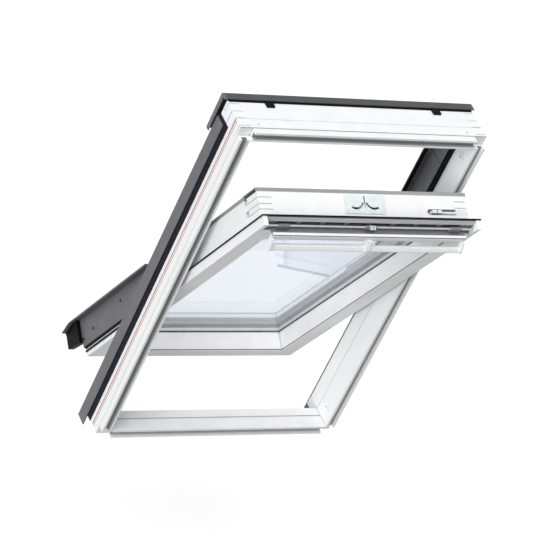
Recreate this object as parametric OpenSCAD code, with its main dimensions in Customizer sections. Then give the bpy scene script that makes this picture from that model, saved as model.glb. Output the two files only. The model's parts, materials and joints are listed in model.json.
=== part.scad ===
// Centre-pivot roof window: a timber frame with aluminium covers, and a glazed sash that turns on two
// pivots, with a ventilation flap, a control bar, a claw lock and a barrel bolt in its top rail.
// X runs across the window, Y from the room to the outside, and Z up the slope of the roof.
// The origin is at the middle of the sill's underside.

/* [Frame] */
// Outer width of the frame
frame_w = 780; // [660:10:1140]
// Outer height of the frame
frame_h = 1180; // [980:10:1600]
// Depth of the head and the jambs
frame_depth = 125; // [118:1:135]
// Width of the frame members, seen from the room
rim_w = 31.5; // [30:0.5:40]
// Depth of the sill
sill_depth = 78; // [66:1:78]
// Width of the lip inside the lining groove
rim_lip = 7.5; // [5:0.5:9]
// Width of the lining groove
groove_w = 16; // [12:0.5:17]
// Depth of the lining groove
groove_depth = 12; // [6:1:16]
// Depth of the band along the room edge that is set in from the outer face
rim_band = 20.5; // [16:0.5:26]
// How far that band is set in
rim_step = 1.5; // [0.5:0.25:3]
// Depth of the lip on the inner face
lip_band = 12.7; // [8:0.1:16]
// How far the inner face lies behind that lip
inner_step = 1; // [0.5:0.25:2]
// Width of the notch in each corner of the room edge
notch_w = 39; // [28:1:50]
// Height of the notch in each corner of the room edge
notch_h = 28; // [20:1:40]
// Distance of the marking groove from the room edge
line_y = 46; // [30:1:60]
// Width of the marking groove
line_w = 10.5; // [6:0.5:12]
// Depth of the marking groove
line_depth = 1.2; // [0.6:0.2:2]
// Depth at which the corner fingers start
finger_start = 29; // [24:1:34]
// Width of a corner finger
finger_pitch = 28; // [24:1:30]
// Open joint beside each finger
finger_gap = 1.5; // [0.5:0.1:2]
// Radius of the pilot holes for the fixing brackets
pilot_r = 2.5; // [2:0.25:4]
// Depth of the pilot holes
pilot_depth = 10; // [6:1:14]
// Distance of the side pilot holes from the room edge
side_pilot_y = 66; // [62:1:67]
// Distance of the side pilot holes from the frame's ends
side_pilot_end = 82; // [70:1:120]
// Distance of the head's pilot holes from the room edge
head_pilot_y = 34; // [28:1:40]
// Distance of the head's pilot holes from the frame's sides
head_pilot_end = 59; // [50:1:90]

/* [Frame covers] */
// Thickness of the aluminium covers
sheet = 3; // [2:0.5:3.5]
// How far the side covers lap over the jambs' outer faces
cover_lap = 33; // [30:1:36]
// How far the side covers stand out beyond the jambs
cover_out_rise = 8.5; // [6:0.5:10]
// Width of the side covers' outside face
cover_w = 28; // [22:1:29]
// How far the side covers reach past the sill
cover_drop = 40; // [10:1:50]
// Distance of the side covers' upper ends from the top of the frame
cover_head_gap = 58; // [50:1:90]
// Radius of the side covers' upper outside corners
cover_round = 6; // [3:1:8]
// Width of the rubber strip beside the side covers
seal_w = 22; // [14:1:22]
// Thickness of that rubber strip
seal_t = 2.5; // [1.5:0.5:3]
// Width of the rubber strip's return over the side cover's upper end
seal_return = 12; // [8:1:16]
// Height of the covers above the sash over the side covers, to their underside
upper_rise = 27; // [26.5:0.5:30]
// How far the covers above the sash reach into the opening
upper_reach = 30.5; // [22:0.5:32]
// How far the covers above the sash reach out over the side covers
upper_over = 8.5; // [7:0.5:12]
// Distance of the upper covers' lower ends from the pivot
upper_start = 62; // [58:1:90]
// Distance of the joint with the corner covers from the head's inner face
corner_joint = 145; // [120:1:200]
// Open joint between the upper covers and the corner covers
cover_joint = 2; // [1:0.5:3]
// How far the upper covers' webs lap over the jambs' inner faces
web_lap = 28; // [21:1:28]
// Width of the rubber under the covers above the sash
upper_seal_w = 12; // [8:1:13]
// Distance of the frame gaskets from the jambs' outside edges
gasket_in = 49; // [49:1:53]
// Width of the frame gaskets
gasket_w = 20; // [16:1:20]
// Height of the frame gaskets' ribs
gasket_h = 9; // [6:0.5:10]
// How far the hood's front edge stands out beyond the head
hood_lift = 25.5; // [23:0.5:27]
// Height of the hood's front
hood_front = 24; // [18:1:25]
// Distance of the hood's front from the head
hood_gap = 2; // [1.5:0.5:4]
// How far the hood reaches down the slope
hood_reach = 60; // [45:1:80]
// Length of the hood's side returns
hood_return = 117; // [90:1:125]
// Depth of the hood's side returns
hood_side = 14; // [10:1:15]
// Clearance between the hood's returns and the covers
hood_side_gap = 2; // [1:0.5:4]
// Width of a hood clip
clip_w = 24; // [16:1:32]
// Distance of the hood clips from the middle
clip_x = 265; // [180:1:290]

/* [Pivot] */
// Opening of the sash as drawn, in degrees
sash_open = 25.8; // [0:0.1:60]
// How far the pivot lies beyond the jambs' outside edges
pivot_out = 25; // [21:1:29]
// Distance of the pivot below the middle of the frame
pivot_drop = 15; // [0:1:30]
// Radius of the pivot pins
pin_r = 8; // [6:0.5:9]
// Running clearance of the pivot pins
pin_fit = 0.05; // [0.02:0.01:0.1]
// Radius of the pivot boss
boss_r = 13; // [12:0.5:14]
// Thickness of the frame's hinge plates
frame_plate = 6; // [5:0.5:8]
// Thickness of the sash's hinge plates
sash_plate = 6; // [4:0.5:8]
// Half height of the hinge plates
plate_half = 40; // [30:1:45]
// Clearance between the boss and the frame's hinge plate
boss_gap = 1; // [0.5:0.1:2]

/* [Sash] */
// How far the members of the closed sash stand out beyond the jambs
sash_proud = 21; // [20:1:22]
// Clearance between the flange and the jambs
flange_gap = 15.5; // [14:0.5:20]
// Clearance between the flange and the sill
flange_sill_gap = 11.5; // [10:0.5:16]
// Clearance between the flange and the head
flange_head_gap = 14.5; // [12:0.5:24]
// Depth of the flange
flange_depth = 27; // [22:1:28]
// How far the body lies in from the flange at the sides and the bottom
flange_lip = 13; // [12:0.5:15]
// How far the top rail's body lies below the flange's upper edge
top_drop = 31; // [29:1:36]
// Depth of the sash members
sash_depth = 108; // [106:1:109]
// Width of the stiles' bodies
stile_w = 41; // [36:1:46]
// Height of the bottom rail's body
bottom_rail_h = 36; // [32:1:42]
// Height of the top rail's body
top_rail_h = 73; // [66:1:84]
// Depth of the glass seat from the room face
seat_depth = 58; // [54:1:60]
// How far the glass reaches into the members
glass_bite = 15; // [12:0.5:16]
// Depth at which the sash's corner fingers start
sash_finger_start = 40; // [38:1:44]
// Width of a sash corner finger
sash_finger_pitch = 17; // [15:0.5:20]

/* [Glazing] */
// Thickness of a pane
pane_t = 4; // [3:0.5:6]
// Space between the panes
pane_space = 16; // [12:1:18]
// Thickness of the inner glazing gasket
glazing_t = 2; // [1.5:0.5:3]
// Clearance round the panes
pane_gap = 1; // [0.5:0.5:2]
// How far the glazing gasket's lip shows inside the members
gasket_show = 2; // [1:0.5:3]
// How far the outer seal reaches inside the members
seal_show = 4; // [2:0.5:6]
// Thickness of the outer glazing seal
outer_seal_t = 6; // [4:0.5:8]

/* [Sash covers] */
// Height of the light trim above the members
trim_h = 11; // [8:0.5:11]
// How far the covers above the frame stand off from the members
cover_rise = 6; // [6:0.5:7]
// How far the lower covers reach over the jambs
cover_over = 9.5; // [6:0.5:12]
// Distance of the side plates from the jambs
skirt_gap = 13.5; // [11:0.5:15]
// Clearance between the side plates' lower ends and the closed sill
skirt_sill_gap = 1.5; // [1:0.5:3]
// Depth at which the side plates start
skirt_start = 30; // [29:1:40]
// Distance of the lower covers' upper ends from the pivot
lower_start = 62; // [58:1:90]
// How far the drip edge hangs below the lower covers
drip_h = 2; // [1:0.5:2.5]
// How far the nose reaches past the bottom rail's body
nose_reach = 102; // [90:1:104]
// How far the nose falls back towards the room
nose_fall = 14; // [8:1:18]
// Length of the nose's slope
nose_slope = 51; // [40:1:54]
// Thickness of the black end caps
cap_t = 18; // [10:1:24]
// Clearance between the end caps and the sill
cap_gap = 4; // [3.5:0.5:12]
// Clearance between the bottom cover and the jambs
nose_gap = 2.5; // [2:0.5:8]
// How far the top trim's ends stand out beyond the stiles
trim_over = 3; // [1:0.5:4]
// Thickness of the ribs on the flange's sides
rib_t = 3; // [2:0.5:4]
// Width of one of those ribs
rib_w = 5; // [4:0.5:6]
// Thickness of the sash gasket
sash_gasket_t = 6; // [4:0.5:7]
// How far the sash gasket's lip stands out from the flange
sash_gasket_lip = 3.5; // [2:0.5:5]
// Radius of the cover screws' heads
screw_head_r = 4.5; // [3.5:0.25:6]
// Radius of the cover screws' shanks
screw_r = 2; // [1.5:0.25:3]
// Height of the screw heads
screw_head_h = 2; // [1:0.25:3]

/* [Lock] */
// Width of the lock plate
lock_w = 128; // [120:1:140]
// Depth of the lock plate
lock_d = 53; // [50:1:58]
// Distance of the lock plate from the room face
lock_start = 50; // [48:1:51]
// Thickness of the lock plate
lock_t = 2; // [1.5:0.25:3]
// Depth of the lock case below the plate
case_depth = 12; // [10:0.5:16]
// Distance of a claw's pivot from the middle
claw_x = 29; // [27:0.5:32]
// Distance of the claws' pivots from the lock plate's room edge
claw_d = 40; // [38:0.5:42]
// Length of a claw
claw_len = 25; // [22:0.5:26]
// Radius of the claws' fingers
claw_r = 2.4; // [2:0.1:3]
// Radius of the claws' posts
post_r = 3; // [2.5:0.25:4]
// Running clearance of the claws
claw_fit = 0.05; // [0.02:0.01:0.1]
// Clearance of the fingers in their slots
slot_fit = 0.7; // [0.4:0.1:1.2]

/* [Barrel bolt] */
// Radius of the bolt
bolt_r = 4.5; // [3.5:0.25:5.5]
// Running clearance of the bolt in its guide
bolt_fit = 0.05; // [0.02:0.01:0.1]
// Distance of the bolt from the room face
bolt_d = 60; // [57:1:63]
// Depth of the bolt's axis below the top rail's face
bolt_drop = 7; // [6:0.5:8]
// Length of the bolt
bolt_len = 118; // [100:1:130]
// Length of the guide
guide_len = 38; // [30:1:44]
// Width of the groove that holds the bolt
bolt_groove_w = 17; // [14:0.5:20]
// Depth of that groove
bolt_groove_h = 14; // [13:0.5:16]
// Travel of the bolt
bolt_travel = 40; // [38:1:44]
// Depth of the bushes from the room edge
bush_y = 39; // [36:0.5:44]
// Height of the lower bush above the sill
bush_low = 44; // [36:1:80]
// Outer radius of the bushes' collars
bush_r = 11; // [9:0.5:13]
// Thickness of the bushes' collars
bush_t = 3; // [2:0.5:4]

/* [Ventilation flap] */
// Depth of the flap's rod from the room face
rod_d = 8; // [7:0.5:10]
// Distance of the rod below the flange's upper edge
rod_drop = 21; // [20:0.5:24]
// Radius of the rod
rod_r = 3; // [2.5:0.25:3.5]
// Running clearance of the flap on the rod
rod_fit = 0.05; // [0.02:0.01:0.1]
// Radius of the flap's knuckles
knuckle_r = 5.5; // [5:0.25:6]
// Length of a knuckle
knuckle_len = 34; // [24:1:44]
// Thickness of the flap
flap_t = 2; // [1.5:0.25:3]
// Radius of the flap's hollow
flap_r = 30; // [28:0.5:32]
// Clearance between the flap's ends and the stiles
flap_end_gap = 24; // [16:1:40]
// Distance of the bar below and in front of the rod
bar_out = 44; // [42:1:46]
// Height of the bar's section
bar_h = 20; // [16:1:24]
// Thickness of the bar
bar_t = 12; // [10:0.5:14]
// Thickness of the brackets
bracket_t = 7; // [5:0.5:10]
// Lean of the fork for the pull rod towards the room, in degrees
clevis_lean = 30; // [26:1:40]
// Thickness of the flap's front edge
edge_t = 2.5; // [2:0.25:3]
// Number of ventilation slots
vent_count = 8; // [4:1:12]
// Height of a ventilation slot
vent_h = 17; // [12:1:18]
// Land between two ventilation slots
vent_land = 14; // [8:1:24]
// Depth of the ventilation slots
vent_depth = 7; // [5:0.5:8]
// Thickness of the filter strips
filter_t = 3; // [2:0.5:4]

/* [Hidden] */
$fn = 48;
// A cutter passes this far beyond the faces that it opens
over = 1;
half_w = frame_w / 2;
open_half = half_w - rim_w;
wall_half = open_half + inner_step;
head_in = frame_h - rim_w;
head_wall = head_in + inner_step;
mid_z = frame_h / 2;
pivot_z = mid_z - pivot_drop;
pivot_depth = frame_depth + pivot_out;
cover_start = frame_depth - cover_lap;
cover_top = frame_depth + cover_out_rise;
upper_under = cover_top + upper_rise;
web_start = frame_depth - web_lap;
gasket_y = frame_depth - gasket_in;
sash_set = frame_depth + sash_proud - sash_depth;
upper_top = upper_under + sheet;
hood_top = upper_top + sheet;
hood_lip = frame_depth + hood_lift;
upper_out = wall_half + upper_over;
cover_out = half_w + sheet;
hood_half = cover_out + sheet + hood_side_gap;
corner_z = head_in - corner_joint;
// Places on the closed sash: across, up, and in depth from its room face
flange_half = open_half - flange_gap;
flange_low = rim_w + flange_sill_gap;
flange_top = head_in - flange_head_gap;
body_half = flange_half - flange_lip;
body_low = flange_low + flange_lip;
body_top = flange_top - top_drop;
glass_half = body_half - stile_w;
glass_low = body_low + bottom_rail_h;
glass_top = body_top - top_rail_h;
pocket_half = glass_half + glass_bite;
pocket_low = glass_low - glass_bite;
pocket_top = glass_top + glass_bite;
pane_half = pocket_half - pane_gap;
pane_low = pocket_low + pane_gap;
pane_top = pocket_top - pane_gap;
inner_pane_d = seat_depth + glazing_t;
outer_pane_d = inner_pane_d + pane_t + pane_space;
outer_seal_d = outer_pane_d + pane_t;
trim_top = sash_depth + trim_h;
raised = sash_depth + cover_rise;
trim_in = glass_half + seal_show / 2;
skirt_end = rim_w + skirt_sill_gap;
skirt_half = open_half - skirt_gap;
eave_half = open_half + cover_over;
nose_half = open_half - nose_gap;
pivot_d = pivot_depth - sash_set;
bolt_z = body_top - bolt_drop;
cap_start = max(skirt_start, sill_depth - sash_set + cap_gap);
// The upper bush lies on the circle that the bolt runs on about the pivot
bolt_swing = norm([pivot_d - bolt_d, bolt_z - pivot_z]);
bush_up = sqrt(pow(bolt_swing, 2) - pow(pivot_depth - bush_y, 2));
bolt_end = body_half - over;
rod_z = flange_top - rod_drop;
flap_half = body_half - flap_end_gap;
vent_pitch = (2 * glass_half + vent_land) / vent_count;
lock_mid = lock_start + lock_d / 2;
claw_pivot = lock_start + claw_d;
web_in = wall_half - sheet;
boss_end = wall_half - frame_plate - boss_gap;

paint = "#f4f5f6";
dark_alu = "#55555a";
light_alu = "#b9b8ba";
rubber = "#1b1b1e";
zinc = "#dfe6e4";
steel = "#c4c7c9";
glass = "#cfe0e6";

// Places the frame, whose room edge is half the sill's depth in front of the origin
module frame_space() {
  translate([0, -sill_depth / 2, 0]) children();
}

// Places the sash: drawn closed with its room face at y = 0, then turned about the pivot
module sash_space() {
  frame_space() translate([0, pivot_depth, pivot_z]) rotate([sash_open, 0, 0])
    translate([0, -pivot_d, -pivot_z]) children();
}

module on_side(side) {
  mirror([side < 0 ? 1 : 0, 0, 0]) children();
}

module block(low, high) {
  translate(low) cube(high - low);
}

module area(low, high) {
  translate(low) square(high - low);
}

// A section in depth and height, drawn out across the window
module along_x(from, to) {
  translate([from, 0, 0]) rotate([90, 0, 90]) linear_extrude(to - from) children();
}

// A section in width and depth, drawn out up the slope
module along_z(from, to) {
  translate([0, 0, from]) linear_extrude(to - from) children();
}

// An outline in width and height, drawn out in depth
module along_y(from, to) {
  translate([0, to, 0]) rotate([90, 0, 0]) linear_extrude(to - from) children();
}

// A round bar across the window
module bar_x(from, to, depth, height, radius) {
  translate([from, depth, height]) rotate([0, 90, 0]) cylinder(h = to - from, r = radius);
}

module rounded_area(low, high, radius) {
  area([low.x + radius, low.y], [high.x - radius, high.y]);
  area([low.x, low.y + radius], [high.x, high.y - radius]);
  for (x = [low.x + radius, high.x - radius])
    for (y = [low.y + radius, high.y - radius])
      translate([x, y]) circle(radius);
}

// A ring between two rectangles in width and height
module ring(half_out, low_out, high_out, half_in, low_in, high_in, from, to) {
  difference() {
    block([-half_out, from, low_out], [half_out, to, high_out]);
    block([-half_in, from - over, low_in], [half_in, to + over, high_in]);
  }
}

// Cuts shared by all four frame members: lining groove, set-in band, marking groove and corner notches
module rim_cuts() {
  groove_in = rim_w - rim_lip;
  groove_out = groove_in - groove_w;
  ring(half_w - groove_out, groove_out, frame_h - groove_out,
    half_w - groove_in, groove_in, frame_h - groove_in, -over, groove_depth);
  ring(half_w + over, -over, frame_h + over,
    half_w - rim_step, rim_step, frame_h - rim_step, -over, rim_band);
  ring(half_w + over, -over, frame_h + over,
    half_w - line_depth, -over * 2, frame_h - line_depth, line_y, line_y + line_w);
  block([-wall_half, lip_band, rim_w - inner_step], [wall_half, frame_depth + over, head_wall]);
  for (side = [-1, 1])
    for (low = [-over, frame_h - notch_h])
      on_side(side) block([half_w - notch_w, -over, low], [half_w + over, rim_band, low + notch_h + over]);
}

// The jambs' fingers at the head, with the open joint beside them when grown
module jamb_fingers(grow) {
  for (side = [-1, 1])
    for (i = [0, 2])
      on_side(side) block([open_half, finger_start + i * finger_pitch - grow, head_in - over],
        [half_w + over, finger_start + (i + 1) * finger_pitch + grow, frame_h + over]);
}

module frame_head() {
  color(paint) frame_space() difference() {
    block([-half_w, 0, head_in], [half_w, frame_depth, frame_h]);
    rim_cuts();
    jamb_fingers(finger_gap);
    for (side = [-1, 1])
      translate([side * (half_w - head_pilot_end), head_pilot_y, frame_h - pilot_depth])
        cylinder(h = pilot_depth + over, r = pilot_r);
  }
}

module frame_sill() {
  color(paint) frame_space() difference() {
    block([-open_half, 0, 0], [open_half, sill_depth, rim_w]);
    rim_cuts();
    block([-open_half - over, line_y - sheet, rim_w - inner_step - sheet], [open_half + over, line_y + sheet, rim_w + over]);
  }
}

module jamb(side) {
  color(paint) frame_space() difference() {
    on_side(side) block([open_half, 0, 0], [half_w, frame_depth, frame_h]);
    rim_cuts();
    difference() {
      on_side(side) block([open_half - over, -over, head_in], [half_w + over, frame_depth + over, frame_h + over]);
      jamb_fingers(0);
    }
    for (z = [side_pilot_end, frame_h - side_pilot_end])
      on_side(side) bar_x(half_w - pilot_depth, half_w + over, side_pilot_y, z, pilot_r);
    if (side > 0)
      for (z = [pivot_z + bush_up, rim_w + bush_low])
        bar_x(open_half, wall_half + bush_len(), bush_y, z, bush_body_r());
    if (side > 0)
      closed_bolt_hole();
    on_side(side) block([wall_half - over, gasket_y - over, -over],
      [wall_half + over, gasket_y + over, pivot_z - lower_start]);
  }
}

module frame_jamb_left() {
  jamb(-1);
}

module frame_jamb_right() {
  jamb(1);
}

// Folded cover on the outside corner of a jamb, with a round upper corner
module side_cover(side) {
  top = frame_h - cover_head_gap;
  color(dark_alu) frame_space() on_side(side) difference() {
    along_z(-cover_drop, top) {
      area([half_w, cover_start], [cover_out, cover_top]);
      area([half_w - cover_w, cover_top - sheet], [cover_out, cover_top]);
      area([half_w - cover_w, frame_depth], [half_w - cover_w + sheet, cover_top]);
    }
    along_x(half_w, cover_out + over) difference() {
      area([cover_top - cover_round, top - cover_round], [cover_top + over, top + over]);
      translate([cover_top - cover_round, top - cover_round]) circle(cover_round);
    }
  }
}

module side_cover_left() {
  side_cover(-1);
}

module side_cover_right() {
  side_cover(1);
}

// Rubber strip with a raised rib along the side cover's edge
module side_seal(side) {
  top = frame_h - cover_head_gap;
  color(rubber) frame_space() on_side(side) {
    along_z(0, top + seal_return) {
      area([half_w, cover_start - seal_w], [half_w + seal_t, cover_start]);
      translate([half_w + seal_t, cover_start - sheet]) circle(sheet / 2);
    }
    block([half_w, cover_start - over, top], [half_w + seal_t, frame_depth, top + seal_return]);
  }
}

module side_seal_left() {
  side_seal(-1);
}

module side_seal_right() {
  side_seal(1);
}

// Section of the covers above the sash: a web on the jamb, a roof over the gap and a foot on the side cover
module upper_section() {
  area([web_in, web_start], [wall_half, upper_top]);
  area([wall_half - upper_reach, upper_under], [upper_out, upper_top]);
  area([upper_out - sheet, cover_top], [upper_out, upper_top]);
}

module upper_cover(side) {
  color(dark_alu) frame_space() on_side(side)
    along_z(pivot_z + upper_start, corner_z - cover_joint / 2) upper_section();
}

module upper_cover_left() {
  upper_cover(-1);
}

module upper_cover_right() {
  upper_cover(1);
}

module corner_cover(side) {
  color(dark_alu) frame_space() on_side(side) difference() {
    along_z(corner_z + cover_joint / 2, head_wall) upper_section();
    block([upper_out - sheet - over, cover_top - over, frame_h - cover_head_gap],
      [upper_out + over, upper_under, head_wall + over]);
    if (side > 0)
      closed_bolt_hole();
  }
}

module corner_cover_left() {
  corner_cover(-1);
}

module corner_cover_right() {
  corner_cover(1);
}

module upper_seal(side) {
  color(rubber) frame_space() on_side(side) along_z(pivot_z + upper_start, head_wall)
    area([wall_half - upper_reach, upper_under - sheet], [wall_half - upper_reach + upper_seal_w, upper_under]);
}

module upper_seal_left() {
  upper_seal(-1);
}

module upper_seal_right() {
  upper_seal(1);
}

// Gasket strip with two ribs on a jamb's inner face
module frame_gasket(side) {
  rib = gasket_w / 4;
  color(rubber) frame_space() on_side(side) difference() {
    along_z(pivot_z + upper_start, head_wall) {
      area([wall_half - sheet, gasket_y], [wall_half, gasket_y + gasket_w]);
      for (i = [0, 2])
        area([wall_half - gasket_h, gasket_y + i * rib], [wall_half, gasket_y + (i + 1) * rib]);
    }
    if (side > 0)
      closed_bolt_hole();
  }
}

// Hole that takes the barrel bolt when it is pushed home with the sash closed
module closed_bolt_hole() {
  bar_x(wall_half - gasket_h - over, wall_half + bush_len(), sash_set + bolt_d, bolt_z, bolt_r + slot_fit);
}

module frame_gasket_left() {
  frame_gasket(-1);
}

module frame_gasket_right() {
  frame_gasket(1);
}

// Hood over the head: a front, a slope up to the roof over the corner covers, and side shelves with returns
module head_cover() {
  front = frame_h + hood_gap;
  low = frame_h - hood_return;
  color(dark_alu) frame_space() {
    along_x(-hood_half, hood_half) area([hood_lip - hood_front, front], [hood_lip, front + sheet]);
    along_x(-upper_out, upper_out) polygon([
      [hood_lip, front + sheet], [hood_top, head_wall], [hood_top, frame_h - hood_reach],
      [upper_top, frame_h - hood_reach], [upper_top, head_wall], [hood_lip - sheet, front]
    ]);
    for (side = [-1, 1])
      on_side(side) along_z(low, front + sheet) {
        area([upper_out + over, hood_lip - sheet], [hood_half, hood_lip]);
        area([hood_half - sheet, hood_lip - hood_side], [hood_half, hood_lip]);
      }
  }
}

// Sealing strip under the hood's front, with the two clips that hold the hood
module head_cover_clips() {
  edge = hood_lip - hood_front;
  color(rubber) frame_space() {
    block([-half_w + sheet, edge - seal_return / 2, frame_h], [half_w - sheet, edge, frame_h + hood_gap]);
    for (side = [-1, 1])
      translate([side * clip_x, 0, 0]) {
        block([-clip_w / 2, edge - clip_w, frame_h], [clip_w / 2, frame_depth, frame_h + hood_gap]);
        block([-clip_w / 2, edge - clip_w, frame_h], [clip_w / 2, edge, frame_h + hood_gap + sheet]);
      }
  }
}

// Hinge plate on the jamb's inner face, with the bush for the pivot pin
module frame_hinge(side) {
  low = pivot_depth - pin_r - boss_r;
  color(steel) frame_space() on_side(side) difference() {
    along_x(wall_half - frame_plate, wall_half) {
      area([frame_depth - plate_half, pivot_z - plate_half], [frame_depth, pivot_z + plate_half]);
      area([low, pivot_z - boss_r], [pivot_depth, pivot_z + boss_r]);
      translate([pivot_depth, pivot_z]) circle(boss_r);
    }
    bar_x(wall_half - frame_plate - over, wall_half + over, pivot_depth, pivot_z, pin_r + pin_fit);
    for (z = [-1, 1])
      bar_x(wall_half - frame_plate - over, wall_half + over, hinge_screw_y(), pivot_z + z * hinge_screw_z(), screw_r);
  }
}

module frame_hinge_left() {
  frame_hinge(-1);
}

module frame_hinge_right() {
  frame_hinge(1);
}

function hinge_screw_y() = frame_depth - plate_half / 2;
function hinge_screw_z() = plate_half * 0.7;

module hinge_screws() {
  face = wall_half - frame_plate;
  color(zinc) frame_space() for (side = [-1, 1])
    for (z = [-1, 1])
      on_side(side) {
        bar_x(face, wall_half, hinge_screw_y(), pivot_z + z * hinge_screw_z(), screw_r);
        bar_x(face - screw_head_h, face, hinge_screw_y(), pivot_z + z * hinge_screw_z(), screw_head_r);
      }
}

function bush_len() = bolt_travel - flange_gap - flange_lip + 2 * over;
function bush_body_r() = bush_r - bush_t;

// Collared bush that takes the end of the barrel bolt
module bolt_bush(z) {
  color(paint) frame_space() difference() {
    union() {
      bar_x(wall_half - bush_t, wall_half, bush_y, z, bush_r);
      bar_x(wall_half - over, wall_half + bush_len(), bush_y, z, bush_body_r());
    }
    bar_x(wall_half - bush_t - over, wall_half + bush_len() - over, bush_y, z, bolt_r + slot_fit);
  }
}

module bolt_bush_upper() {
  bolt_bush(pivot_z + bush_up);
}

module bolt_bush_lower() {
  bolt_bush(rim_w + bush_low);
}

// Plate on the head's inner face with the mouth that the claws reach into
module strike_plate() {
  low = sash_set + lock_start;
  color(zinc) frame_space() difference() {
    block([-lock_w / 2, low, head_wall - sheet], [lock_w / 2, frame_depth - over, head_wall]);
    for (side = [-1, 1])
      on_side(side) block([claw_x - claw_len / 2, low + sheet, head_wall - sheet - over],
        [claw_x + claw_len / 2, low + lock_d / 2, head_wall + over]);
  }
}

// The four sash members before they are parted: flange, body, and pocket for the glass
module sash_ring() {
  difference() {
    union() {
      block([-flange_half, 0, flange_low], [flange_half, flange_depth, flange_top]);
      block([-body_half, 0, body_low], [body_half, sash_depth, body_top]);
    }
    block([-glass_half, -over, glass_low], [glass_half, sash_depth + over, glass_top]);
    block([-pocket_half, seat_depth, pocket_low], [pocket_half, sash_depth + over, pocket_top]);
  }
}

// The stiles' fingers at the top rail, with the open joint beside them when grown
module stile_fingers(grow) {
  for (side = [-1, 1])
    for (i = [0, 2])
      on_side(side) block([glass_half, sash_finger_start + i * sash_finger_pitch - grow, glass_top - over],
        [body_half + over, sash_finger_start + (i + 1) * sash_finger_pitch + grow, body_top + over]);
}

// Section of the top rail: glass pocket, body, gasket ridge, ventilation wall and trough for the flap
module top_rail_section() {
  ridge = flange_depth;
  wall = rod_d + knuckle_r + 3 * over;
  polygon([
    [0, glass_top], [seat_depth, glass_top], [seat_depth, pocket_top], [sash_depth, pocket_top],
    [sash_depth, body_top], [ridge, body_top], [ridge, flange_top], [ridge - sheet, flange_top],
    [wall + over, rod_z + knuckle_r], [wall - over, rod_z - vent_h - sheet * 2], [0, rod_z - vent_h - sheet * 3]
  ]);
}

module vent_places() {
  for (i = [0 : vent_count - 1])
    translate([-glass_half + i * vent_pitch, 0, 0]) children();
}

module sash_top_rail() {
  wall = rod_d + knuckle_r + 3 * over;
  slot_low = rod_z - vent_h / 2 - sheet;
  color(paint) sash_space() difference() {
    along_x(-body_half, body_half) top_rail_section();
    stile_fingers(finger_gap);
    vent_places() block([0, wall - 2 * over, slot_low], [vent_pitch - vent_land, wall + vent_depth, slot_low + vent_h]);
    block([-lock_w / 2 + sheet * 2, lock_start + sheet, body_top - case_depth],
      [lock_w / 2 - sheet * 2, lock_start + lock_d - sheet, body_top + over]);
    bolt_groove();
  }
}

// Groove with a round end that the bolt and its guide lie in
module bolt_groove() {
  along = bolt_end - bolt_len - bolt_groove_w / 4;
  translate([0, 0, body_top - bolt_groove_h]) linear_extrude(bolt_groove_h + over) {
    area([along, bolt_d - bolt_groove_w / 2], [body_half + over, bolt_d + bolt_groove_w / 2]);
    translate([along, bolt_d]) circle(bolt_groove_w / 2);
  }
}

// The bottom rail is mitred into the stiles
module sash_bottom_rail() {
  reach = flange_half - glass_half + stile_w;
  color(paint) sash_space() intersection() {
    sash_ring();
    along_y(-over, sash_depth + over)
      polygon([[-glass_half, glass_low], [glass_half, glass_low],
        [glass_half + reach, glass_low - reach], [-glass_half - reach, glass_low - reach]]);
  }
}

module stile(side) {
  reach = flange_half - glass_half + stile_w;
  color(paint) sash_space() on_side(side) difference() {
    intersection() {
      sash_ring();
      along_y(-over, sash_depth + over)
        polygon([[glass_half, glass_low], [glass_half + reach, glass_low - reach],
          [glass_half + reach, flange_top + over], [glass_half, flange_top + over]]);
    }
    difference() {
      block([glass_half - over, -over, glass_top], [body_half, sash_depth + over, flange_top + over]);
      stile_fingers(0);
    }
    if (side > 0)
      bolt_groove();
  }
}

module sash_stile_left() {
  stile(-1);
}

module sash_stile_right() {
  stile(1);
}

module pane(depth) {
  block([-pane_half, depth, pane_low], [pane_half, depth + pane_t, pane_top]);
}

module inner_pane() {
  color(glass) sash_space() pane(inner_pane_d);
}

module outer_pane() {
  color(glass) sash_space() pane(outer_pane_d);
}

module glass_spacer() {
  color(steel) sash_space() ring(pane_half - pane_gap, pane_low + pane_gap, pane_top - pane_gap,
    glass_half, glass_low, glass_top, inner_pane_d + pane_t, outer_pane_d);
}

module glazing_gasket() {
  color(rubber) sash_space() ring(pane_half, pane_low, pane_top,
    glass_half - gasket_show, glass_low + gasket_show, glass_top - gasket_show, seat_depth, inner_pane_d);
}

module glazing_seal() {
  color(rubber) sash_space() ring(pane_half, pane_low, pane_top,
    glass_half - seal_show, glass_low + seal_show, glass_top - seal_show, outer_seal_d, outer_seal_d + outer_seal_t);
}

// Trim section: a top between two legs, of which the outer one stands on the member's edge
module trim_cap(edge_in, edge_out) {
  area([edge_in, trim_top - sheet], [edge_out, trim_top]);
  area([edge_out - sheet, sash_depth], [edge_out, trim_top]);
  area([edge_in, sash_depth], [edge_in + sheet, trim_top]);
}

// Leg that presses on the glazing seal
module trim_leg(edge_in) {
  area([edge_in, outer_seal_d + outer_seal_t], [edge_in + sheet, sash_depth]);
}

module top_trim() {
  edge = pane_top - pane_half + trim_in;
  color(light_alu) sash_space() {
    along_x(-body_half - trim_over, body_half + trim_over) mirror([1, -1]) trim_cap(edge, body_top);
    along_x(-pane_half, pane_half) mirror([1, -1]) trim_leg(edge);
  }
}

module upper_trim(side) {
  color(light_alu) sash_space() on_side(side)
    along_z(pivot_z - lower_start + cover_joint, pane_top - pane_half + trim_in) {
      trim_cap(trim_in, body_half);
      trim_leg(trim_in);
    }
}

module upper_trim_left() {
  upper_trim(-1);
}

module upper_trim_right() {
  upper_trim(1);
}

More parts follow.
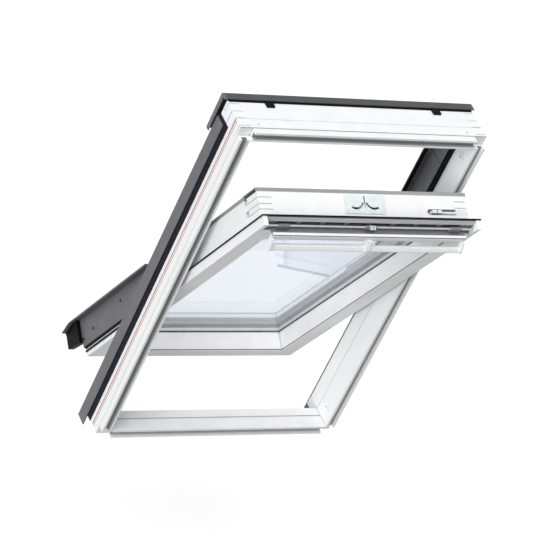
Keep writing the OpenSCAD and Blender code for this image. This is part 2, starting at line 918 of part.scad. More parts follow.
// Section of the lower covers: leg on the seal, top on the stile, raised eave over the jamb, side plate and foot
module lower_section() {
  low = outer_seal_d + outer_seal_t;
  riser = body_half + sheet;
  area([trim_in, low], [trim_in + sheet, sash_depth + sheet]);
  area([trim_in, sash_depth], [riser, sash_depth + sheet]);
  area([riser - sheet, sash_depth], [riser, raised + sheet]);
  area([riser - sheet, raised], [skirt_half, raised + sheet]);
  skirt_section();
}

// The side plate with its foot, and the eave beyond it
module skirt_section() {
  area([skirt_half - sheet, skirt_start], [skirt_half, raised + sheet]);
  area([body_half, skirt_start], [skirt_half, skirt_start + sheet]);
  eave_section(skirt_half - sheet);
}

module eave_section(from) {
  area([from, raised], [eave_half, raised + sheet]);
  area([eave_half - sheet / 2, raised - drip_h], [eave_half, raised + sheet]);
}

// Places of a side plate's three screws, as shares of its depth and its length
function skirt_screws() = [[0.64, 0.55], [0.41, 0.16], [0.27, 0.02]];

module skirt_screw_places() {
  for (p = skirt_screws())
    translate([skirt_half, skirt_start + p.x * (raised - skirt_start),
      skirt_end + p.y * (pivot_z - lower_start - skirt_end)]) rotate([0, 90, 0]) children();
}

module lower_cover(side) {
  color(dark_alu) sash_space() on_side(side) difference() {
    union() {
      along_z(cover_edge(), pivot_z - lower_start) lower_section();
      along_z(body_low, cover_edge()) skirt_section();
      along_z(skirt_end, body_low) area([skirt_half - sheet, skirt_start], [skirt_half, raised]);
    }
    skirt_screw_places() translate([0, 0, -sheet - over]) cylinder(h = sheet + 2 * over, r = screw_r);
  }
}

module lower_cover_left() {
  lower_cover(-1);
}

module lower_cover_right() {
  lower_cover(1);
}

module cover_screws() {
  color(steel) sash_space() for (side = [-1, 1])
    on_side(side) skirt_screw_places() {
      cylinder(h = screw_head_h, r = screw_head_r);
      translate([0, 0, -3 * sheet]) cylinder(h = 3 * sheet, r = screw_r);
    }
}

// Folded cover under the glass: leg on the seal, flat, riser, and a nose over the sill with a hem
function nose_flat() = body_low - nose_reach + nose_slope;
function nose_end() = body_low - nose_reach;
function cover_edge() = pane_low + pane_half - trim_in;

module bottom_cover() {
  low = outer_seal_d + outer_seal_t;
  edge = cover_edge();
  inside = skirt_half - sheet;
  fall = raised - nose_fall;
  color(dark_alu) sash_space() {
    along_x(-inside, inside) {
      area([sash_depth, body_low - sheet], [sash_depth + sheet, edge]);
      area([sash_depth, body_low - sheet], [raised + sheet, body_low]);
    }
    along_x(-pane_half, pane_half) area([low, edge - sheet], [sash_depth + sheet, edge]);
    along_x(-eave_half, eave_half) polygon([
      [raised, body_low], [raised + sheet, body_low], [raised + sheet, nose_flat()],
      [fall + sheet, nose_end()], [fall, nose_end()], [raised, nose_flat()]
    ]);
    along_x(-nose_half, nose_half) area([fall - 2 * sheet, nose_end()], [fall + over, nose_end() + sheet]);
  }
}

// Moulded cap that closes the end of the bottom cover
module end_cap(side) {
  color(rubber) sash_space() on_side(side) along_x(nose_half - cap_t, nose_half) polygon([
    [cap_start, skirt_end], [raised, skirt_end], [raised, nose_flat()],
    [raised - nose_fall, nose_end() + sheet], [cap_start + 2 * sheet, nose_end() + sheet]
  ]);
}

module end_cap_left() {
  end_cap(-1);
}

module end_cap_right() {
  end_cap(1);
}

// Lip gasket behind the flange all the way round, and two ribs on each side of the flange's lower half
module sash_gasket() {
  lip = sash_gasket_lip;
  color(rubber) sash_space() {
    ring(flange_half + lip, flange_low - lip, flange_top + lip, body_half, body_low, body_top,
      flange_depth, flange_depth + sash_gasket_t / 2);
    for (side = [-1, 1])
      for (d = [flange_depth - rib_w, flange_depth - 3 * rib_w])
        on_side(side) block([flange_half, d, flange_low], [flange_half + rib_t, d + rib_w, pivot_z - lower_start]);
  }
}

// Hinge plate on the stile with the boss and the pivot pin
module sash_hinge(side) {
  color(steel) sash_space() on_side(side) {
    along_x(body_half, body_half + sash_plate) {
      area([sash_depth - plate_half, pivot_z - plate_half], [sash_depth, pivot_z + plate_half]);
      translate([pivot_d, pivot_z]) circle(boss_r);
    }
    bar_x(body_half + sash_plate - over, boss_end, pivot_d, pivot_z, boss_r);
    bar_x(boss_end - over, wall_half - over, pivot_d, pivot_z, pin_r);
  }
}

module sash_hinge_left() {
  sash_hinge(-1);
}

module sash_hinge_right() {
  sash_hinge(1);
}

// Slot that a claw's finger runs in, as a ring sector about the claw's post
module claw_slot() {
  width = claw_r + slot_fit;
  spread = claw_len * 2;
  intersection() {
    difference() {
      circle(claw_len + width);
      circle(claw_len - width);
    }
    polygon([[0, 0], [-spread * 0.62, -spread], [spread * 0.94, -spread], [spread, -spread * 0.35]]);
  }
}

module claw_place(side) {
  on_side(side) translate([-claw_x, claw_pivot, body_top]) children();
}

module lock_plate() {
  half = lock_w / 2;
  color(zinc) sash_space() {
    difference() {
      along_up(body_top, lock_t) difference() {
        rounded_area([-half, lock_start], [half, lock_start + lock_d], 2 * sheet);
        area([-screw_r, lock_mid - lock_d / 5], [screw_r, lock_start + lock_d - sheet]);
      }
      for (side = [-1, 1])
        claw_place(side) translate([0, 0, -over]) linear_extrude(lock_t + 2 * over) claw_slot();
    }
    for (side = [-1, 1])
      claw_place(side) translate([0, 0, over - case_depth]) cylinder(h = case_depth, r = post_r);
  }
}

// A flat outline in width and depth, raised from a height
module along_up(from, thickness) {
  translate([0, 0, from]) linear_extrude(thickness) children();
}

// Places of the lock's six screws
function lock_screw_places() = [
  for (x = [-0.82, 0.82]) for (y = [0.16, 0.84]) [x * lock_w / 2, lock_start + y * lock_d],
  for (x = [-0.3, 0.3]) [x * lock_w / 2, lock_start + 0.1 * lock_d]
];

module lock_screws() {
  color(steel) sash_space() for (p = lock_screw_places())
    translate([p.x, p.y, body_top + lock_t]) cylinder(h = over, r = screw_r);
}

// Claw: a hub on the post, an arm and a finger that comes up through the slot
module claw(side) {
  hub = 2 * post_r;
  low = lock_t - case_depth + over;
  color(zinc) sash_space() claw_place(side) difference() {
    union() {
      translate([0, 0, low]) cylinder(h = 2 * lock_t, r = hub);
      rotate([0, 0, claw_rest()]) translate([0, -post_r, low]) cube([claw_len, 2 * post_r, 2 * lock_t]);
      rotate([0, 0, claw_rest()]) translate([claw_len, 0, low]) cylinder(h = case_depth + lock_t, r = claw_r);
      rotate([0, 0, claw_rest()]) translate([claw_len, 0, low]) cylinder(h = 2 * lock_t, r = post_r);
    }
    translate([0, 0, low - over]) cylinder(h = case_depth, r = post_r + claw_fit);
  }
}

// Angle of the claws' arms as drawn
function claw_rest() = 278;

module claw_left() {
  claw(1);
}

module claw_right() {
  claw(-1);
}

module vent_filter() {
  wall = rod_d + knuckle_r + 3 * over;
  slot_low = rod_z - vent_h / 2 - sheet;
  color("#8c8d8f") sash_space() vent_places()
    block([0, wall + vent_depth - filter_t, slot_low], [vent_pitch - vent_land, wall + vent_depth, slot_low + vent_h]);
}

module bolt_guide() {
  half = bolt_groove_w / 2;
  color(zinc) sash_space() difference() {
    along_x(body_half - guide_len, body_half)
      area([bolt_d - half, body_top - bolt_groove_h], [bolt_d + half, body_top]);
    bar_x(body_half - guide_len - over, body_half + over, bolt_d, bolt_z, bolt_r + bolt_fit);
  }
}

// Bolt with two knobs to push it by
module barrel_bolt() {
  start = bolt_end - bolt_len;
  knob = 3 * bolt_r;
  color(zinc) sash_space() {
    bar_x(start, bolt_end, bolt_d, bolt_z, bolt_r);
    for (x = [start + over, start + knob + sheet + over])
      block([x, bolt_d - bolt_r, bolt_z], [x + knob, bolt_d + bolt_r, body_top + 2 * sheet]);
  }
}

module flap_rod() {
  color(steel) sash_space() bar_x(-body_half, body_half, rod_d, rod_z, rod_r);
}

// Draws in depth and height from the flap's rod
module from_rod() {
  translate([rod_d, rod_z]) children();
}

// Flap: a hollow blade with a front edge, hung from three knuckles
module vent_flap() {
  color(light_alu) sash_space() difference() {
    union() {
      along_x(-flap_half, flap_half) from_rod() {
        flap_blade(flap_r - flap_t);
      }
      for (x = [-1, 0, 1])
        translate([x * (flap_half - knuckle_len), 0, 0]) {
          bar_x(-knuckle_len / 2, knuckle_len / 2, rod_d, rod_z, knuckle_r);
          along_x(-knuckle_len / 2, knuckle_len / 2) from_rod()
            polygon(flap_r * [[-0.167, 0], [0.1, 0], [-0.033, -0.46], [-0.267, -0.46]]);
        }
    }
    bar_x(-body_half, body_half, rod_d, rod_z, rod_r + rod_fit);
  }
}

function hollow_centre() = flap_r * [-0.2, 0.533];

// Hollow blade between the flap's root and its front edge, from an inner radius out
module flap_blade(inner) {
  intersection() {
    translate(hollow_centre()) difference() {
      circle(flap_r);
      circle(inner);
    }
    polygon(flap_r * [[-0.2, 0.533], [-0.033, -0.667], [-1.333, -0.667], [-1.333, -0.547]]);
  }
}

// White front edge: a hem on top of the blade's end, and a face that hangs down in front
module flap_edge() {
  color(paint) sash_space() along_x(-flap_half, flap_half) from_rod() difference() {
    polygon(flap_r * [[-0.62, -0.08], [-0.95, -0.2], [-0.98, -0.53], [-0.98 + edge_t / flap_r, -0.53],
      [-0.95 + edge_t / flap_r, -0.2 - edge_t / flap_r], [-0.62, -0.16]]);
    translate(hollow_centre()) difference() {
      circle(flap_r);
      circle(flap_r - flap_t);
    }
  }
}

// Section of the control bar: a rectangle with round ends, square to its brackets
module bar_section() {
  from_rod() translate([-bar_out, -bar_out]) rotate(45) {
    square([bar_h - bar_t, bar_t], center = true);
    for (end = [-1, 1])
      translate([end * (bar_h - bar_t) / 2, 0]) circle(bar_t / 2);
  }
}

module control_bar() {
  color(paint) sash_space() along_x(-flap_half + bracket_t, flap_half - bracket_t) bar_section();
}

// Curved bracket from the flap's front edge to the bar
module bracket_section() {
  from_rod() difference() {
    hull() {
      translate(flap_r * [-0.8, -0.4]) circle(bar_t / 2, $fn = 32);
      translate([-bar_out, -bar_out]) circle(bar_t * 0.95, $fn = 32);
    }
    translate(hollow_centre()) circle(flap_r);
    polygon(flap_r * [[-1.333, 0.533], [0, 0.533], [-0.4, -0.2], [-0.98 + edge_t / flap_r, -0.53], [-1.333, -0.53]]);
  }
}

module end_bracket(side) {
  color(paint) sash_space() on_side(side) along_x(flap_half - bracket_t, flap_half) bracket_section();
}

module bar_bracket_left() {
  end_bracket(-1);
}

module bar_bracket_right() {
  end_bracket(1);
}

module bar_bracket_centre() {
  color(paint) sash_space() along_x(-bracket_t, bracket_t) difference() {
    bracket_section();
    bar_section();
  }
}

// Fork on the middle knuckle that the lock's pull rod hooks into
module flap_clevis() {
  color(zinc) sash_space() difference() {
    for (side = [-1, 1])
      on_side(side) along_x(sheet, 2 * sheet) from_rod() rotate(clevis_lean) difference() {
        area([-knuckle_r, 0], [knuckle_r, 3 * knuckle_r]);
        circle(knuckle_r);
        translate([0, 2 * knuckle_r]) circle(screw_r);
      }
  }
}

frame_head();
frame_sill();
frame_jamb_left();
frame_jamb_right();
side_cover_left();
side_cover_right();
side_seal_left();
side_seal_right();
upper_cover_left();
upper_cover_right();
corner_cover_left();
corner_cover_right();
upper_seal_left();
upper_seal_right();
frame_gasket_left();
frame_gasket_right();
head_cover();
head_cover_clips();
frame_hinge_left();
frame_hinge_right();
hinge_screws();
bolt_bush_upper();
bolt_bush_lower();
strike_plate();
sash_top_rail();
sash_bottom_rail();
sash_stile_left();
sash_stile_right();
inner_pane();
outer_pane();
glass_spacer();
glazing_gasket();
glazing_seal();
top_trim();
upper_trim_left();
upper_trim_right();
lower_cover_left();
lower_cover_right();
bottom_cover();
end_cap_left();
end_cap_right();
sash_gasket();
sash_hinge_left();
sash_hinge_right();
cover_screws();
lock_plate();
lock_screws();
vent_filter();
bolt_guide();
flap_rod();
vent_flap();
flap_edge();
control_bar();
bar_bracket_left();
bar_bracket_centre();
bar_bracket_right();
flap_clevis();
barrel_bolt();
claw_left();
claw_right();
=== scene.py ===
import json
import math
import bmesh
import bpy
from mathutils import Matrix, Vector


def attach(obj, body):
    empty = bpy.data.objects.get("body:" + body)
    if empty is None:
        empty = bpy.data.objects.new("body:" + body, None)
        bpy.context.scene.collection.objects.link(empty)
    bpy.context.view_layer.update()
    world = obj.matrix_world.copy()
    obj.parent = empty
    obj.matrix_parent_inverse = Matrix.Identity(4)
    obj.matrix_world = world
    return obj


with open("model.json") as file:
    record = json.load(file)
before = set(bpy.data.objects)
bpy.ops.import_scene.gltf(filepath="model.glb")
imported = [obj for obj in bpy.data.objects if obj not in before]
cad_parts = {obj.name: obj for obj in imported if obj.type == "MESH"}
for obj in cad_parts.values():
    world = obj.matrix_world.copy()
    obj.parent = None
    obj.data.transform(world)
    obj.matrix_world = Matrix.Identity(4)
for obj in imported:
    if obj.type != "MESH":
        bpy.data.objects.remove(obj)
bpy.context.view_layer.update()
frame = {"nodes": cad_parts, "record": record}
nodes = frame["nodes"]
print("frame loaded:", len(nodes), "nodes")

# the camera is solved from the four corners of the frame's opening in the photo
camera = {"place": (-4.2974, -5.2285, 5.7009), "lens": 200.85, "sensor": 36.0, "farEnd": 60.0,
          "right": (0.864642, -0.352864, 0.357606), "down": (0.009989, -0.699596, -0.714469)}
camData = bpy.data.cameras.new("photoCamera")
camData.lens = camera["lens"]
camData.sensor_width = camera["sensor"]
camData.sensor_fit = "HORIZONTAL"
camData.clip_end = camera["farEnd"]
cam = bpy.data.objects.new("photoCamera", camData)
right, down = Vector(camera["right"]), Vector(camera["down"])
turn = Matrix((right, -down, right.cross(-down))).transposed().to_4x4()
cam.matrix_world = Matrix.Translation(camera["place"]) @ turn
bpy.context.scene.collection.objects.link(cam)
bpy.context.scene.camera = cam
print("camera placed")


# sRGB hex to the linear values that a shader takes
def linear(code):
    parts = [int(code[i:i + 2], 16) / 255 for i in (1, 3, 5)]
    return [c / 12.92 if c <= 0.04045 else ((c + 0.055) / 1.055) ** 2.4 for c in parts] + [1.0]


# adds a node, sets its values by socket name or number and links its inputs
def addNode(tree, kind, values=None, links=None, **settings):
    made = tree.nodes.new(kind)
    for key, value in settings.items():
        setattr(made, key, value)
    for key, value in (values or {}).items():
        made.inputs[key].default_value = value
    for key, source in (links or {}).items():
        tree.links.new(source, made.inputs[key])
    return made


amountIn, underIn, overIn, colourOut = 0, 6, 7, 2  # sockets of a Mix node that mixes colours
metre = 1000  # millimetres


def bareMaterial(name):
    mat = bpy.data.materials.new(name)
    mat.use_nodes = True
    mat.node_tree.nodes.clear()
    return mat, mat.node_tree


# what every mottled surface shares: the span where most noise values lie, the two noises,
# and how open a joint is where the painted shade is darkest and where it ends, with the rays that sample
# it
mottle = {"span": (0.3, 0.7), "blotch": {"Detail": 4.0, "Roughness": 0.55},
          "grit": {"Detail": 3.0, "Roughness": 0.6}, "shadeSpan": (0.15, 0.8), "shadeRays": 8}


# a surface with mottled colour, mottled gloss and a fine relief, given by its strength and depth
# blotch, grit and depth are in millimetres, and grit is coarser than real so that it shows
# the crevice setting paints shade into narrow joints and hollows by ambient occlusion; paint colours one
# place on the piece, on most pieces painted light and shade
def finish(name, low, high, blotch, grit, relief, rough, stretch=(1, 1, 1),
           crevice=None, paint=None, **shader):
    mat, tree = bareMaterial(name)
    where = addNode(tree, "ShaderNodeTexCoord").outputs["Object"]
    drawn = addNode(tree, "ShaderNodeMapping", {"Scale": stretch}, {"Vector": where})
    cloud = addNode(tree, "ShaderNodeTexNoise", {"Scale": metre / blotch, **mottle["blotch"]},
                    {"Vector": drawn.outputs["Vector"]})
    fine = addNode(tree, "ShaderNodeTexNoise", {"Scale": metre / grit, **mottle["grit"]},
                   {"Vector": drawn.outputs["Vector"]})
    colour = addNode(tree, "ShaderNodeValToRGB", links={"Fac": cloud.outputs["Fac"]})
    for stop, place, code in zip(colour.color_ramp.elements, mottle["span"], (low, high)):
        stop.position = place
        stop.color = linear(code)
    shade = colour.outputs["Color"]
    if paint:
        shade = paint(tree, where, shade)
    # painted shade: ambient occlusion darkens the colour in narrow joints and hollows
    if crevice:
        clear = addNode(tree, "ShaderNodeAmbientOcclusion", {"Distance": crevice["reach"] / metre},
                        samples=mottle["shadeRays"])
        shadeFactor = addNode(tree, "ShaderNodeMapRange",
                       {"From Min": mottle["shadeSpan"][0], "From Max": mottle["shadeSpan"][1],
                        "To Min": crevice["dark"], "To Max": 1.0}, {"Value": clear.outputs["AO"]})
        shade = addNode(tree, "ShaderNodeMix", {amountIn: 1.0},
                        {underIn: shade, overIn: shadeFactor.outputs["Result"]},
                        data_type="RGBA", blend_type="MULTIPLY").outputs[colourOut]
    gloss = addNode(tree, "ShaderNodeMapRange",
                    {"From Min": mottle["span"][0], "From Max": mottle["span"][1],
                     "To Min": rough[0], "To Max": rough[1]}, {"Value": fine.outputs["Fac"]})
    bump = addNode(tree, "ShaderNodeBump", {"Strength": relief[0], "Distance": relief[1] / metre},
                   {"Height": fine.outputs["Fac"]})
    body = addNode(tree, "ShaderNodeBsdfPrincipled", shader,
                   {"Base Color": shade, "Roughness": gloss.outputs["Result"],
                    "Normal": bump.outputs["Normal"]})
    addNode(tree, "ShaderNodeOutputMaterial", links={"Surface": body.outputs["BSDF"]})
    return mat


# 1 where every axis lies on the asked side of its limit, else 0
def insideLimits(tree, tests):
    amount = None
    for axis, operation, limit in tests:
        held = addNode(tree, "ShaderNodeMath", {1: limit}, {0: axis}, operation=operation).outputs[0]
        if amount:
            held = addNode(tree, "ShaderNodeMath", links={0: amount, 1: held},
                           operation="MULTIPLY").outputs[0]
        amount = held
    return amount


# the sash's own axes with the sash shut: x across, y depth from its room face, z height
sashPlace = {"turn": math.radians(25.8), "move": (0, -0.238193, 0.105627)}


def sashAxes(tree, where):
    shut = addNode(tree, "ShaderNodeMapping",
                   {"Rotation": (-sashPlace["turn"], 0, 0), "Location": sashPlace["move"]},
                   {"Vector": where})
    return addNode(tree, "ShaderNodeSeparateXYZ", links={"Vector": shut.outputs["Vector"]}).outputs


# the top rail's front edge, where the ventilation channel is let in: grey, with painted shade on the
# dark wall and the dark ridge, and painted light on the lighter slope
ventEdgeShade = {"depth": 0.0275, "wall": 1.088, "slope": 1.119, "ridge": 1.1337,
            "colours": {"wall": "#77777a", "slope": "#c9c9cb", "ridge": "#4b4b4e"}}


def paintVentShade(tree, where, shade):
    axes = sashAxes(tree, where)
    for level, code in ventEdgeShade["colours"].items():
        there = insideLimits(tree, ((axes["Y"], "LESS_THAN", ventEdgeShade["depth"]),
                                    (axes["Z"], "GREATER_THAN", ventEdgeShade[level])))
        shade = addNode(tree, "ShaderNodeMix", {overIn: linear(code)},
                        {amountIn: there, underIn: shade}, data_type="RGBA").outputs[colourOut]
    return shade


# painted shade in the lining groove, counted inwards from the frame's outside edge: the shade starts, is
# full, ends step is painted shade on the shallow step along the head's outside, by its depth
liningGrooveShade = {"halfWidth": 0.39, "height": 1.18, "from": 0.0082, "full": 0.0088, "to": 0.0243,
                "floor": -0.0267, "colour": "#a2a2a4",
                "step": (-0.0196, -0.0180), "stepReach": 0.003, "stepShade": "#a4a4a6"}


def paintGrooveShade(tree, where, shade):
    axes = addNode(tree, "ShaderNodeSeparateXYZ", links={"Vector": where}).outputs
    across = addNode(tree, "ShaderNodeMath", links={0: axes["X"]}, operation="ABSOLUTE").outputs[0]
    side = addNode(tree, "ShaderNodeMath", {0: liningGrooveShade["halfWidth"]}, {1: across},
                   operation="SUBTRACT").outputs[0]
    top = addNode(tree, "ShaderNodeMath", {0: liningGrooveShade["height"]}, {1: axes["Z"]},
                  operation="SUBTRACT").outputs[0]
    inward = axes["Z"]
    for edge in (side, top):
        inward = addNode(tree, "ShaderNodeMath", links={0: inward, 1: edge},
                         operation="MINIMUM").outputs[0]
    within = insideLimits(tree, ((inward, "LESS_THAN", liningGrooveShade["to"]),
                                 (axes["Y"], "LESS_THAN", liningGrooveShade["floor"])))
    grown = addNode(tree, "ShaderNodeMapRange",
                    {"From Min": liningGrooveShade["from"], "From Max": liningGrooveShade["full"]},
                    {"Value": inward})
    amount = addNode(tree, "ShaderNodeMath", links={0: within, 1: grown.outputs["Result"]},
                     operation="MULTIPLY").outputs[0]
    shade = addNode(tree, "ShaderNodeMix", {overIn: linear(liningGrooveShade["colour"])},
                    {amountIn: amount, underIn: shade}, data_type="RGBA").outputs[colourOut]
    step = insideLimits(tree, ((top, "LESS_THAN", liningGrooveShade["stepReach"]),
                               (axes["Y"], "GREATER_THAN", liningGrooveShade["step"][0]),
                               (axes["Y"], "LESS_THAN", liningGrooveShade["step"][1])))
    return addNode(tree, "ShaderNodeMix", {overIn: linear(liningGrooveShade["stepShade"])},
                   {amountIn: step, underIn: shade}, data_type="RGBA").outputs[colourOut]


# painted shade: a narrow dark line along the sash's inner edge, close to its room face, for the shadow
# of a groove that is not modelled
edgeShadeLine = {"from": 0.0012, "to": 0.0048, "halfWidth": 0.2895, "above": 0.0915, "colour": "#77777a"}


def paintEdgeShade(tree, where, shade):
    axes = sashAxes(tree, where)
    across = addNode(tree, "ShaderNodeMath", links={0: axes["X"]}, operation="ABSOLUTE").outputs[0]
    there = insideLimits(tree, ((axes["Y"], "GREATER_THAN", edgeShadeLine["from"]),
                                (axes["Y"], "LESS_THAN", edgeShadeLine["to"]),
                                (across, "LESS_THAN", edgeShadeLine["halfWidth"]),
                                (axes["Z"], "GREATER_THAN", edgeShadeLine["above"])))
    return addNode(tree, "ShaderNodeMix", {overIn: linear(edgeShadeLine["colour"])},
                   {amountIn: there, underIn: shade}, data_type="RGBA").outputs[colourOut]


# the black butyl seal along the spacer's outer edge, by its depth in the sash
butylSeal = {"from": 0.0742, "colour": "#08080a"}


def butylEdge(tree, where, shade):
    axes = sashAxes(tree, where)
    there = insideLimits(tree, ((axes["Y"], "GREATER_THAN", butylSeal["from"]),))
    return addNode(tree, "ShaderNodeMix", {overIn: linear(butylSeal["colour"])},
                   {amountIn: there, underIn: shade}, data_type="RGBA").outputs[colourOut]


# painted reflection: the hood's two ends, by their distance from the middle, are painted lighter where
# its side returns catch a sheen
hoodEndSheen = {"from": 0.3915, "colour": "#636368"}


def paintHoodEndSheen(tree, where, shade):
    axes = addNode(tree, "ShaderNodeSeparateXYZ", links={"Vector": where}).outputs
    across = addNode(tree, "ShaderNodeMath", links={0: axes["X"]}, operation="ABSOLUTE").outputs[0]
    there = insideLimits(tree, ((across, "GREATER_THAN", hoodEndSheen["from"]),))
    return addNode(tree, "ShaderNodeMix", {overIn: linear(hoodEndSheen["colour"])},
                   {amountIn: there, underIn: shade}, data_type="RGBA").outputs[colourOut]


# painted shade in the joints, by ambient occlusion: its reach in millimetres, and the share of the
# colour left in the deepest corner
sashShade = {"reach": 14, "dark": 0.3}
frameShade = {"reach": 8, "dark": 0.3}
coverShade = {"reach": 12, "dark": 0.3}
barShade = {"reach": 5, "dark": 0.5}
lockShade = {"reach": 5, "dark": 0.25}

# sprayed lacquer on pine: even white, a faint long grain under it, a soft sheen
lacquer = {"low": "#ecedee", "high": "#f3f4f5", "blotch": 60, "grit": 3.5, "relief": (0.18, 0.12),
           "rough": (0.34, 0.46), "stretch": (1, 1, 0.2), "IOR": 1.5}
# on the frame it has painted shade in the lining groove and on the head's step
lacquerGrooveShade = finish("white lacquer with painted groove shade", crevice=frameShade, paint=paintGrooveShade, **lacquer)
# on the stiles and the bottom rail it has a dark line of painted shade
lacquerEdgeShade = finish("white lacquer with painted edge shade", crevice=sashShade, paint=paintEdgeShade, **lacquer)
# on the top rail it has a grey edge where the ventilation channel is let in, with painted light and
# shade on it
lacquerVentShade = finish("white lacquer and grey vent edge with painted shade", crevice=sashShade, paint=paintVentShade, **lacquer)

# powder coat on folded aluminium sheet: dark grey with a pebbled satin surface
coat = {"blotch": 40, "grit": 1.6, "relief": (0.25, 0.08), "rough": (0.42, 0.58), "IOR": 1.5}
coatDark = finish("dark grey powder coat", low="#5a5a5f", high="#636369", crevice=coverShade, **coat)
# the hood is a darker copy of the same coat: painted shade
coatHoodShaded = finish("darker grey powder coat with painted shade", low="#37373b", high="#404045", paint=paintHoodEndSheen, **coat)

# extruded aluminium, satin anodised: light grey with fine lines along the bar
anodic = {"blotch": 30, "grit": 1.2, "relief": (0.2, 0.05), "rough": (0.36, 0.5),
          "stretch": (0.05, 1, 1), "crevice": sashShade, "IOR": 1.5}
anodised = finish("satin anodised aluminium", low="#8f8e92", high="#9d9ca0", **anodic)
# the flap's blade is the same metal in a darker anodic shade
anodisedDark = finish("dark anodised aluminium", low="#727175", high="#7f7e82", **anodic)

# powder coat on aluminium, white and a little glossier than the dark coat
coatWhite = finish("white powder coat", low="#f0f1f2", high="#f6f7f8", blotch=40, grit=1.4,
                   relief=(0.2, 0.06), rough=(0.34, 0.46), crevice=barShade, IOR=1.5)
# moulded nylon, white, with an even mould finish
nylon = finish("white moulded nylon", low="#eff0f1", high="#f5f6f7", blotch=25, grit=1.0,
               relief=(0.15, 0.05), rough=(0.38, 0.5), crevice=barShade, IOR=1.53)
# extruded rubber: black, dull, a little dusty
rubber = finish("black extruded rubber", low="#0c0c0e", high="#151518", blotch=12, grit=0.8,
                relief=(0.3, 0.06), rough=(0.6, 0.78), **{"IOR": 1.52, "Specular IOR Level": 0.08})
# the sealing strip under the side covers: a dark foam rubber with a blue cast
foamRubber = finish("blue-black foam rubber", low="#171721", high="#22222d", blotch=9, grit=1.4,
                    relief=(0.5, 0.2), rough=(0.7, 0.85), **{"IOR": 1.5, "Specular IOR Level": 0.1})
# moulded plastic with an eroded mould finish: black, and dull for a plastic
moulded = finish("black moulded plastic", low="#050506", high="#0b0b0d", blotch=15, grit=0.7,
                 relief=(0.35, 0.06), rough=(0.45, 0.6), **{"IOR": 1.49, "Specular IOR Level": 0.06})
# open cell foam: dark grey with pores
foam = finish("dark filter foam", low="#26272a", high="#44464a", blotch=3, grit=1.5,
              relief=(0.9, 0.6), rough=(0.8, 0.95), IOR=1.5)
# bright zinc plating on pressed steel: pale, faintly cloudy
zinc = finish("bright zinc plating", low="#d9e3e1", high="#e6eeec", blotch=22, grit=0.9,
              relief=(0.12, 0.03), rough=(0.26, 0.38), crevice=lockShade, Metallic=0.15)
# blackened steel, on the covers' screws and the claws: dark with a soft metal gleam
darkSteel = finish("blackened steel", low="#3a3a3d", high="#4a4a4e", blotch=4, grit=0.6,
                   relief=(0.2, 0.03), rough=(0.3, 0.45), Metallic=0.8)
# drawn aluminium rod, left as it came from the mill: pale and a little dull
millRod = finish("mill finish aluminium rod", low="#b9bcbe", high="#c9ccce", blotch=10, grit=1.0,
                 relief=(0.2, 0.04), rough=(0.4, 0.55), Metallic=0.8)
# roll-formed spacer bar between the panes: pale, a little green from the glass edge, and satin
spacer = finish("satin anodised spacer strip", low="#aebcb7", high="#bac7c2", blotch=10, grit=1.0,
                relief=(0.2, 0.04), rough=(0.4, 0.55), paint=butylEdge, IOR=1.5)
# bead of cured sealant: rubbery and slightly uneven
sealant = {"blotch": 14, "grit": 1.2, "relief": (0.4, 0.15), "rough": (0.4, 0.55), "IOR": 1.43}
redSealant = finish("red sealant bead", low="#a8584f", high="#ba6e65", **sealant)
violetSealant = finish("violet sealant bead", low="#adb0da", high="#bfc1e4", **sealant)


# float glass: a clear sheet with a pale blue cast and a clean, even gloss
def floatGlass():
    look = {"tints": ("#eef1f6", "#f2f5f9"), "film": 180, "filmDetail": 2.0,
            "clear": 1.0, "bend": 1.45, "rough": 0.01}
    mat, tree = bareMaterial("clear float glass")
    where = addNode(tree, "ShaderNodeTexCoord").outputs["Object"]
    film = addNode(tree, "ShaderNodeTexNoise",
                   {"Scale": metre / look["film"], "Detail": look["filmDetail"]}, {"Vector": where})
    tint = addNode(tree, "ShaderNodeValToRGB", links={"Fac": film.outputs["Fac"]})
    for stop, code in zip(tint.color_ramp.elements, look["tints"]):
        stop.color = linear(code)
    body = addNode(tree, "ShaderNodeBsdfPrincipled",
                   {"Transmission Weight": look["clear"], "IOR": look["bend"],
                    "Roughness": look["rough"]}, {"Base Color": tint.outputs["Color"]})
    addNode(tree, "ShaderNodeOutputMaterial", links={"Surface": body.outputs["BSDF"]})
    return mat


slotFinish = {"white_timber": lacquerGrooveShade, "dark_aluminium": coatDark, "grey_aluminium": anodised,
              "white_aluminium": coatWhite, "white_plastic": nylon, "black_rubber": rubber,
              "black_plastic": moulded, "glass": floatGlass(), "spacer_bar": spacer, "zinc_steel": zinc}
# nodes that differ from the rest of their slot
nodeFinish = {"sash_top_rail": lacquerVentShade, "sash_bottom_rail": lacquerEdgeShade,
              "sash_stile_left": lacquerEdgeShade, "sash_stile_right": lacquerEdgeShade,
              "head_cover": coatHoodShaded, "vent_flap": anodisedDark, "vent_filter": foam,
              "flap_rod": millRod, "cover_screws": darkSteel,
              "claw_left": darkSteel, "claw_right": darkSteel,
              "side_seal_left": foamRubber, "side_seal_right": foamRubber}
for part in frame["record"]["subparts"]:
    mat = nodeFinish.get(part["node"], slotFinish[part["material_slot"]])
    for holder in nodes[part["node"]].material_slots:
        holder.material = mat
for pane in ("inner_pane", "outer_pane"):
    nodes[pane].visible_shadow = False  # clear glass lets the lamps through
print("finishes given")


# turns a bmesh into an object at the origin
def objectFrom(bm, name, mat):
    mesh = bpy.data.meshes.new(name)
    bm.to_mesh(mesh)
    bm.free()
    mesh.materials.append(mat)
    obj = bpy.data.objects.new(name, mesh)
    bpy.context.scene.collection.objects.link(obj)
    return obj


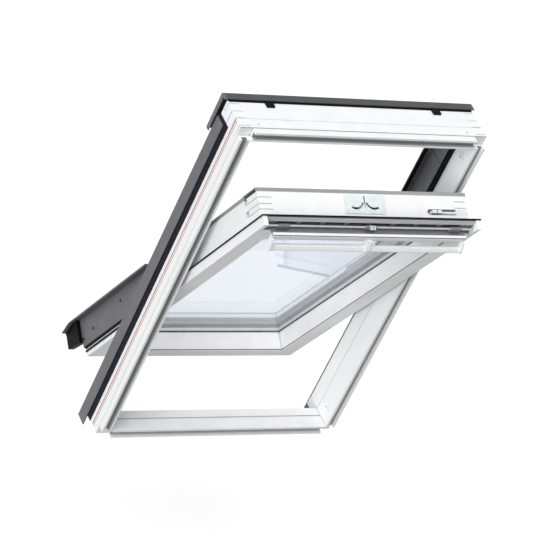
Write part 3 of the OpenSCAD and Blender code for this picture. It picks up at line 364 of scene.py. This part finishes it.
# round bead of sealant up the outside of a jamb, sunk a little into the timber
def bead(name, side, form, depth, mat):
    bm = bmesh.new()
    bmesh.ops.create_circle(bm, cap_ends=True, segments=form["sides"], radius=form["radius"])
    lifted = bmesh.ops.extrude_face_region(bm, geom=bm.faces[:])
    top = [v for v in lifted["geom"] if isinstance(v, bmesh.types.BMVert)]
    bmesh.ops.translate(bm, verts=top, vec=(0, 0, form["high"] - form["low"]))
    bmesh.ops.translate(bm, verts=bm.verts, vec=(side * form["out"], depth, form["low"]))
    bmesh.ops.recalc_face_normals(bm, faces=bm.faces)
    obj = objectFrom(bm, name, mat)
    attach(obj, "frame")


jambBead = {"sides": 12, "radius": 0.0009, "out": 0.3894, "low": 0.004, "high": 1.176,
            "depths": {"room": 0.0086, "roof": 0.0164}}
topDab = {"sides": 12, "radius": 0.0012, "out": 0.3902, "low": 1.137, "high": 1.177, "depth": 0.046}
for side, word in ((-1, "left"), (1, "right")):
    for row, depth in jambBead["depths"].items():
        bead("sealant_" + row + "_" + word, side, jambBead, depth, redSealant)
    bead("sealant_top_" + word, side, topDab, topDab["depth"], violetSealant)
print("sealant beads laid")


# a broad light from above, a second from the left, a dim pale room all round, white behind the object
studio = {"white": "#ffffff", "sky": 0.28,
          "floorColour": "#949494", "floorGlow": 0.78, "floorHeight": -0.6, "floorReach": 20.0,
          "lamps": {"highLight": {"power": 2.1, "from": (-0.30, -0.05, 0.95), "spread": 50.0},
                    "leftLight": {"power": 1.85, "from": (-0.84, -0.44, 0.30), "spread": 40.0}}}


# 1 where the camera, a reflection or the glass looks straight at the background, else 0
def seenDirectly(tree):
    path = addNode(tree, "ShaderNodeLightPath").outputs
    seen = path["Is Camera Ray"]
    for ray in ("Is Transmission Ray", "Is Glossy Ray"):
        seen = addNode(tree, "ShaderNodeMath", links={0: seen, 1: path[ray]},
                       operation="MAXIMUM").outputs[0]
    return seen


world = bpy.data.worlds.new("studio")
bpy.context.scene.world = world
world.use_nodes = True
room = world.node_tree
room.nodes.clear()
level = addNode(room, "ShaderNodeMapRange", {"To Min": studio["sky"], "To Max": 1.0},
                {"Value": seenDirectly(room)})
back = addNode(room, "ShaderNodeBackground", {"Color": linear(studio["white"])},
               {"Strength": level.outputs["Result"]})
addNode(room, "ShaderNodeOutputWorld", links={"Surface": back.outputs["Background"]})

for name, lamp in studio["lamps"].items():
    sunData = bpy.data.lights.new(name, "SUN")
    sunData.energy = lamp["power"]
    sunData.angle = math.radians(lamp["spread"])
    sun = bpy.data.objects.new(name, sunData)
    sun.rotation_euler = Vector(lamp["from"]).to_track_quat("Z", "Y").to_euler()
    bpy.context.scene.collection.objects.link(sun)


# pale floor under the hung part: it glows white to the camera and keeps a soft shadow
def paleFloor():
    mat, tree = bareMaterial("pale studio floor")
    glow = addNode(tree, "ShaderNodeMapRange", {"To Min": 0.0, "To Max": studio["floorGlow"]},
                   {"Value": seenDirectly(tree)})
    matt = addNode(tree, "ShaderNodeBsdfDiffuse", {"Color": linear(studio["floorColour"])})
    bright = addNode(tree, "ShaderNodeEmission", {"Color": linear(studio["white"])},
                     {"Strength": glow.outputs["Result"]})
    both = addNode(tree, "ShaderNodeAddShader", links={0: matt.outputs[0], 1: bright.outputs[0]})
    addNode(tree, "ShaderNodeOutputMaterial", links={"Surface": both.outputs[0]})
    bm = bmesh.new()
    bmesh.ops.create_grid(bm, x_segments=2, y_segments=2, size=studio["floorReach"])
    bmesh.ops.translate(bm, verts=bm.verts, vec=(0, 0, studio["floorHeight"]))
    obj = objectFrom(bm, "paleFloor", mat)


paleFloor()
print("light and floor set")

bpy.context.scene.view_settings.view_transform = "Standard"
